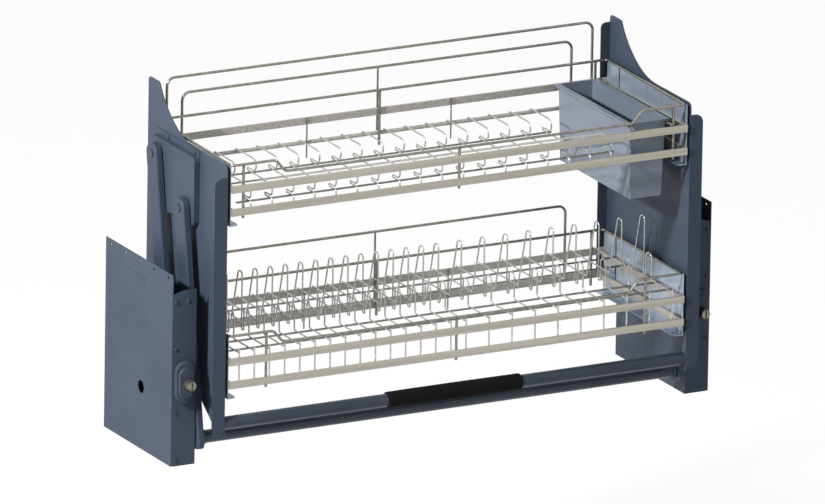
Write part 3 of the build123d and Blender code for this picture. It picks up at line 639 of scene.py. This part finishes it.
@dataclass
class WeldBeads:
    """Small weld beads where a tier's cross wires meet the inner faces of its front bars.

    Attributes:
        half_size: Half lengths of a bead along X, Y and Z.
        rings: Rings from one end of a bead to the other.
        sides: Vertices round a bead.
        uneven: Share by which the size varies from bead to bead.
        uneven_scale: Noise scale of that variation, per metre.
        bar_height: Height of a front bar.
        stand_off: How far a bead's middle lies behind the bars' rear face.
    """

    half_size: Point = (2.0 * MM, 0.8 * MM, 2.6 * MM)
    rings: int = 7
    sides: int = 12
    uneven: float = 0.22
    uneven_scale: float = 900.0
    bar_height: float = 11.0 * MM
    stand_off: float = 0.15 * MM

    def build(self, tier: str, rows: list[str], dresser: Dresser) -> bpy.types.Object:
        """Model all the beads of a tier as one piece.

        Args:
            tier: Name of the tier.
            rows: Nodes that hold the tier's cross wires.
            dresser: Gives the beads their finish.

        Returns:
            The beads.
        """
        low, high = [Vector(corner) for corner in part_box(f"{tier}_front_bars")]
        heights = (low.z + self.bar_height / 2, high.z - self.bar_height / 2)
        shape = bmesh.new()
        for row in rows:
            for x in wire_places(row):
                for z in heights:
                    self.bead(shape, Vector((x, high.y + self.stand_off, z)))
        bmesh.ops.recalc_face_normals(shape, faces=shape.faces)
        piece = mesh_object(f"{tier}_weld_beads", shape)
        dresser.add(piece, "rack", "stainless_wire", "weld")
        return piece

    def bead(self, shape: bmesh.types.BMesh, centre: Vector) -> None:
        """Add one lens-shaped bead, a little different from its neighbours.

        Args:
            shape: The bmesh.
            centre: Middle of the bead.
        """
        size = [half * (1 + self.uneven * noise.noise(centre * self.uneven_scale
                                                      + Vector((0, 0, place))))
                for place, half in enumerate(self.half_size)]
        rings = []
        for index in range(1, self.rings):
            polar = math.pi * index / self.rings
            ring = []
            for step in range(self.sides):
                angle = 2 * math.pi * step / self.sides
                ring.append(centre + Vector((size[0] * math.sin(polar) * math.cos(angle),
                                             size[1] * math.sin(polar) * math.sin(angle),
                                             size[2] * math.cos(polar))))
            rings.append(add_ring(shape, ring))
        bridge(shape, rings, False)
        shape.faces.new(rings[0])
        shape.faces.new(list(reversed(rings[-1])))


@dataclass
class ScrewHeads:
    """Domed screw heads with a cross recess on the fronts of the housings.

    Attributes:
        sides: Vertices round a head.
        rings: Rings from the rim of a head to the edge of its recess.
        recess: Radius of the recess's arms.
        arm: Half width of the recess's arms.
        depth: Depth of the recess.
        rim_share: Height of a head's upright rim as a share of the head's height.
        dome_share: Height of the dome above the rim as a share of the head's height.
        arm_reach_share: Length of the recess's arms as a share of its radius.
        widest_reach_share: Largest reach of the recess as a share of its radius.
    """

    sides: int = 48
    rings: int = 8
    recess: float = 1.9 * MM
    arm: float = 0.45 * MM
    depth: float = 0.8 * MM
    rim_share: float = 0.25
    dome_share: float = 0.72
    arm_reach_share: float = 0.9
    widest_reach_share: float = 0.95

    def build(self, dresser: Dresser) -> bpy.types.Object:
        """Model all the heads as one piece in place of their node.

        Args:
            dresser: Gives the heads their finish.

        Returns:
            The heads.
        """
        shape = bmesh.new()
        for low, high in islands("housing_screws"):
            centre = (low + high) / 2
            self.head(shape, Vector((centre.x, high.y, centre.z)), (high.z - low.z) / 2,
                      high.y - low.y)
        piece = mesh_object("housing_screw_heads", shape)
        dresser.add(piece, "housings", "zinc_steel", "pin_paint")
        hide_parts("housing_screws")
        return piece

    def head(self, shape: bmesh.types.BMesh, seat: Vector, radius: float, height: float) -> None:
        """Add one head whose flat back lies on the plate.

        Args:
            shape: The bmesh.
            seat: Middle of the head's back.
            radius: Radius of the head.
            height: Height of the head.
        """
        rings = [self.circle(shape, seat, radius, 0.0)]
        for index in range(self.rings + 1):
            rise = math.pi / 2 * index / self.rings
            share = self.rim_share + self.dome_share * math.sin(rise)
            rings.append(self.circle(shape, seat, max(radius * math.cos(rise), self.recess),
                                     height * share))
        top = height * (self.rim_share + self.dome_share)
        cross = []
        for step in range(self.sides):
            angle = 2 * math.pi * step / self.sides
            reach = self.cross_reach(angle)
            cross.append(seat + Vector((reach * math.cos(angle), -top,
                                        reach * math.sin(angle))))
        rings.append(add_ring(shape, cross))
        rings.append(add_ring(shape, [point + Vector((0, self.depth, 0)) for point in cross]))
        start = len(shape.faces)
        bridge(shape, rings, False)
        shape.faces.ensure_lookup_table()
        shape.faces.new(list(reversed(rings[0])))
        shape.faces.new(rings[-1])
        shape.faces.ensure_lookup_table()
        bmesh.ops.recalc_face_normals(shape, faces=shape.faces[start:])

    def cross_reach(self, angle: float) -> float:
        """Find the distance from the middle to the edge of the cross recess.

        Args:
            angle: Angle round the head in radians.

        Returns:
            The distance.
        """
        along, across = abs(math.cos(angle)), abs(math.sin(angle))
        near, far = min(along, across), max(along, across)
        return min(self.arm_reach_share * self.recess / far, self.arm / max(near, SMALL),
                   self.widest_reach_share * self.recess)

    def circle(self, shape: bmesh.types.BMesh, seat: Vector, radius: float,
               height: float) -> list[bmesh.types.BMVert]:
        """Add one ring of a head.

        Args:
            shape: The bmesh.
            seat: Middle of the head's back.
            radius: Radius of the ring.
            height: How far the ring lies in front of the plate.

        Returns:
            The ring's vertices.
        """
        steps = [2 * math.pi * step / self.sides for step in range(self.sides)]
        return add_ring(shape, [seat + Vector((radius * math.cos(angle), -height,
                                               radius * math.sin(angle))) for angle in steps])


def islands(node: str) -> list[tuple[Vector, Vector]]:
    """Find the boxes of a node's separate solids.

    Args:
        node: Name of the node.

    Returns:
        The low and high corner of each solid's box.
    """
    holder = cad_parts[node]
    shape = bmesh.new()
    shape.from_mesh(holder.data)
    bmesh.ops.remove_doubles(shape, verts=shape.verts, dist=SAME_PLACE)
    waiting = set(shape.verts)
    boxes = []
    while waiting:
        found, edge = set(), [waiting.pop()]
        while edge:
            corner = edge.pop()
            found.add(corner)
            near = {link.other_vert(corner) for link in corner.link_edges} & waiting
            waiting -= near
            edge.extend(near)
        points = [holder.matrix_world @ corner.co for corner in found]
        boxes.append((Vector([min(point[axis] for point in points) for axis in range(3)]),
                      Vector([max(point[axis] for point in points) for axis in range(3)])))
    shape.free()
    return boxes


def soften(node: str, width: float, segments: int = 3, sharp: float = 40.0) -> None:
    """Round the sharp edges of a node by a bevel.

    Args:
        node: Name of the node.
        width: Width of the bevel.
        segments: Faces across the bevel.
        sharp: Smallest angle in degrees at which an edge counts as sharp.
    """
    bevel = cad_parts[node].modifiers.new("soft_edges", "BEVEL")
    bevel.width = width
    bevel.segments = segments
    bevel.limit_method = "ANGLE"
    bevel.angle_limit = math.radians(sharp)
    bevel.harden_normals = True


@dataclass
class Housings:
    """The two fixed mechanism boxes with their adjusters, screws and springs.

    Attributes:
        spring: Models a balance spring.
        screws: Models the screw heads.
    """

    spring: BalanceSpring = field(default_factory=BalanceSpring)
    screws: ScrewHeads = field(default_factory=ScrewHeads)

    def build(self, dresser: Dresser) -> None:
        """Dress the boxes and wind the springs in them.

        Args:
            dresser: Gives the pieces their finishes.
        """
        dresser.nodes(both("housing") + both("cover"), "powder")
        dresser.nodes(both("adjuster_boss"), "moulding")
        dresser.nodes(both("pivot_bushes"), "nylon")
        self.screws.build(dresser)
        dresser.nodes(both("adjuster_knob") + both("tension_block"), "zinc")
        for side in Side:
            self.spring.build(side, dresser)


@dataclass
class Arms:
    """The four swing arms, their pins and cranks, and the shaft between the front arms."""

    def build(self, dresser: Dresser) -> None:
        """Dress the arms.

        Args:
            dresser: Gives the pieces their finishes.
        """
        dresser.nodes(both("front_arm") + both("rear_arm"), "arm_paint")
        dresser.nodes(["sync_shaft"], "tube_paint")
        dresser.nodes(both("front_lower_pin") + both("rear_lower_pin"), "pin_paint")
        dresser.nodes(both("crank"), "zinc")


@dataclass
class Carriage:
    """The side panels, brackets, handle and grip that swing with the baskets.

    Attributes:
        grip: Models the foam grip.
    """

    grip: FoamGrip = field(default_factory=FoamGrip)

    def build(self, dresser: Dresser) -> None:
        """Dress the panels and model the grip.

        Args:
            dresser: Gives the pieces their finishes.
        """
        dresser.nodes(both("panel") + both("bracket"), "powder")
        dresser.nodes(["handle_bar"], "tube_paint")
        dresser.nodes(["bracket_screws", "upper_pins"], "pin_paint")
        self.grip.build(dresser)


@dataclass
class Baskets:
    """The bowl basket, the plate basket and the cutlery box.

    Attributes:
        tiers: Names of the two baskets.
        beads: Models the weld beads behind their front bars.
        box_edge: Width of the cutlery box's rounded edges.
    """

    tiers: tuple[str, str] = ("bowl", "plate")
    beads: WeldBeads = field(default_factory=WeldBeads)
    box_edge: float = 1.2 * MM

    def build(self, dresser: Dresser) -> None:
        """Dress both baskets.

        Args:
            dresser: Gives the pieces their finishes.
        """
        for tier in self.tiers:
            dresser.nodes([f"{tier}_front_bars"], "bar")
            dresser.nodes([f"{tier}_rear_bars"], "rear_bar")
            dresser.nodes([f"{tier}_end_bars"], "end_bar")
            dresser.nodes([f"{tier}_rim", f"{tier}_spacers", f"{tier}_posts"], "rim")
            dresser.nodes([f"{tier}_rails"], "rail")
            dresser.nodes([f"{tier}_end_sheets"], "sheet")
        dresser.nodes(["bowl_tall_guard", "bowl_low_guard", "plate_guard"], "rim")
        dresser.nodes(["bowl_cross_wires", "plate_narrow_dividers", "plate_wide_dividers"], "wire")
        self.beads.build("bowl", ["bowl_cross_wires"], dresser)
        self.beads.build("plate", ["plate_narrow_dividers", "plate_wide_dividers"], dresser)
        dresser.nodes(["box_cradle"], "rail")
        dresser.nodes(["cutlery_box"], "tub")
        soften("cutlery_box", self.box_edge)


@dataclass(frozen=True)
class Lamp:
    """A square area lamp aimed at the object.

    Attributes:
        name: Name of the lamp.
        place: Its position.
        size: Edge length of its square.
        power: Its power in watts.
        colour: Its linear colour.
    """

    name: str
    place: Point
    size: float
    power: float
    colour: Colour

    def add(self, target: Vector) -> None:
        """Add the lamp to the scene.

        Args:
            target: Point that the lamp is aimed at.
        """
        lamp = bpy.data.lights.new(self.name, "AREA")
        lamp.size = self.size
        lamp.energy = self.power
        lamp.color = self.colour
        holder = bpy.data.objects.new(self.name, lamp)
        holder.location = self.place
        aim = target - Vector(self.place)
        holder.rotation_euler = aim.to_track_quat("-Z", "Y").to_euler()
        bpy.context.scene.collection.objects.link(holder)


@dataclass
class Studio:
    """Pale floor, soft light and the camera at the photograph's angle.

    Attributes:
        azimuth: Camera azimuth in degrees, 0 looks along +Y.
        elevation: Camera elevation in degrees.
        roll: Roll of the camera in degrees.
        target: Point of the object at the picture's middle.
        lens: Focal length in millimetres on the sensor below.
        sensor: Width of the sensor in millimetres.
        picture_width: Width of the picture in pixels.
        scale: Pixels per metre at the target.
        floor_z: Height of the floor, below the lowered rack.
        floor_half: Half of the floor's edge length.
        floor_tone: Grey of the part of the floor that takes light and shadow.
        floor_roughness: Roughness of the floor.
        floor_white: Share of the floor that is plain white, the rest shows the shadow.
        floor_glow: Brightness of that white.
        soft_light: Strength of the world's light on the rack.
        soft_colour: Linear colour of that light.
        far_share: Distance that the camera still sees, as a multiple of its own distance.
        lamps: The key, fill and top lamps.
    """

    azimuth: float = -27.85
    elevation: float = 17.08
    roll: float = 0.967
    target: Point = (-0.0078, 0.0, 0.2415)
    lens: float = 900.0
    sensor: float = 36.0
    picture_width: int = 825
    scale: float = 702.0
    floor_z: float = -0.34
    floor_half: float = 12.0
    floor_tone: float = 0.9
    floor_roughness: float = 0.9
    floor_white: float = 0.85
    floor_glow: float = 1.08
    soft_light: float = 0.13
    soft_colour: Colour = (0.92, 0.95, 1.0)
    far_share: float = 4.0
    lamps: tuple[Lamp, ...] = (
        Lamp("key_light", (-2.68, -0.79, 1.99), 0.22, 170.0, (1.0, 0.99, 0.97)),
        Lamp("fill_light", (0.2, -3.0, 1.3), 2.0, 6.0, (0.97, 0.98, 1.0)),
        Lamp("top_light", (0.2, 0.8, 2.6), 1.6, 6.0, (1.0, 1.0, 1.0)),
    )

    def build(self) -> None:
        """Set up floor, world, lamps, camera and view transform."""
        self.add_floor()
        self.add_world()
        for lamp in self.lamps:
            lamp.add(Vector(self.target))
        self.add_camera()
        bpy.context.scene.view_settings.view_transform = "Standard"

    def add_floor(self) -> None:
        """Add the pale floor, which looks white to the camera and keeps the soft shadow."""
        shape = bmesh.new()
        half = self.floor_half
        corners = [(-half, -half), (half, -half), (half, half), (-half, half)]
        shape.faces.new([shape.verts.new((x, y, self.floor_z)) for x, y in corners])
        floor = mesh_object("studio_floor", shape, smooth=False)
        material = bpy.data.materials.new("studio_white")
        material.use_nodes = True
        tree = material.node_tree
        shader = tree.nodes["Principled BSDF"]
        shader.inputs["Base Color"].default_value = (*[self.floor_tone] * 3, 1.0)
        shader.inputs["Roughness"].default_value = self.floor_roughness
        glow = tree.nodes.new("ShaderNodeEmission")
        glow.inputs["Strength"].default_value = self.floor_glow
        mix = tree.nodes.new("ShaderNodeMixShader")
        light = tree.nodes.new("ShaderNodeLightPath")
        share = tree.nodes.new("ShaderNodeMath")
        share.operation = "MULTIPLY"
        share.inputs[1].default_value = self.floor_white
        seen = self.seen_ray(tree, light)
        tree.links.new(seen, share.inputs[0])
        tree.links.new(share.outputs["Value"], mix.inputs["Fac"])
        tree.links.new(shader.outputs["BSDF"], mix.inputs[1])
        tree.links.new(glow.outputs["Emission"], mix.inputs[2])
        tree.links.new(mix.outputs["Shader"], tree.nodes["Material Output"].inputs["Surface"])
        floor.data.materials.append(material)

    def seen_ray(self, tree: bpy.types.NodeTree, light: bpy.types.Node) -> bpy.types.NodeSocket:
        """Join the rays that see the background as plain white.

        Args:
            tree: Node tree of the material or world.
            light: Its light path node.

        Returns:
            A socket that is 1 for camera, glossy and transmission rays.
        """
        first = tree.nodes.new("ShaderNodeMath")
        first.operation = "MAXIMUM"
        second = tree.nodes.new("ShaderNodeMath")
        second.operation = "MAXIMUM"
        tree.links.new(light.outputs["Is Camera Ray"], first.inputs[0])
        tree.links.new(light.outputs["Is Glossy Ray"], first.inputs[1])
        tree.links.new(first.outputs["Value"], second.inputs[0])
        tree.links.new(light.outputs["Is Transmission Ray"], second.inputs[1])
        return second.outputs["Value"]

    def add_world(self) -> None:
        """Make the world white to the camera and in reflections, and a soft light elsewhere."""
        world = bpy.data.worlds.new("studio_world")
        bpy.context.scene.world = world
        world.use_nodes = True
        tree = world.node_tree
        tree.nodes.clear()
        output = tree.nodes.new("ShaderNodeOutputWorld")
        white = tree.nodes.new("ShaderNodeBackground")
        soft = tree.nodes.new("ShaderNodeBackground")
        white.inputs["Color"].default_value = (1.0, 1.0, 1.0, 1.0)
        soft.inputs["Color"].default_value = (*self.soft_colour, 1.0)
        soft.inputs["Strength"].default_value = self.soft_light
        mix = tree.nodes.new("ShaderNodeMixShader")
        light = tree.nodes.new("ShaderNodeLightPath")
        tree.links.new(self.seen_ray(tree, light), mix.inputs["Fac"])
        tree.links.new(soft.outputs["Background"], mix.inputs[1])
        tree.links.new(white.outputs["Background"], mix.inputs[2])
        tree.links.new(mix.outputs["Shader"], output.inputs["Surface"])

    def add_camera(self) -> None:
        """Add the camera at the photograph's angle and scale."""
        camera = bpy.data.cameras.new("photo_camera")
        camera.lens = self.lens
        camera.sensor_width = self.sensor
        focal_pixels = self.lens / self.sensor * self.picture_width
        distance = focal_pixels / self.scale
        camera.clip_end = self.far_share * distance
        azimuth, elevation = math.radians(self.azimuth), math.radians(self.elevation)
        back = Vector((-math.sin(-azimuth) * math.cos(elevation),
                       -math.cos(azimuth) * math.cos(elevation), math.sin(elevation)))
        holder = bpy.data.objects.new("photo_camera", camera)
        holder.location = Vector(self.target) + back * distance
        turn = (-back).to_track_quat("-Z", "Y").to_matrix().to_4x4()
        holder.matrix_world = (Matrix.Translation(holder.location) @ turn
                               @ Matrix.Rotation(math.radians(self.roll), 4, "Z"))
        bpy.context.scene.collection.objects.link(holder)
        bpy.context.scene.camera = holder


def main() -> None:
    """Build the sub-assemblies in order and report each piece."""
    logging.basicConfig(level=logging.INFO, format="%(name)s %(message)s")
    dresser = Dresser()
    for assembly in (Housings(), Arms(), Carriage(), Baskets()):
        LOG.info("building %s", type(assembly).__name__)
        assembly.build(dresser)
    Studio().build()


if __name__ == "__main__":
    main()
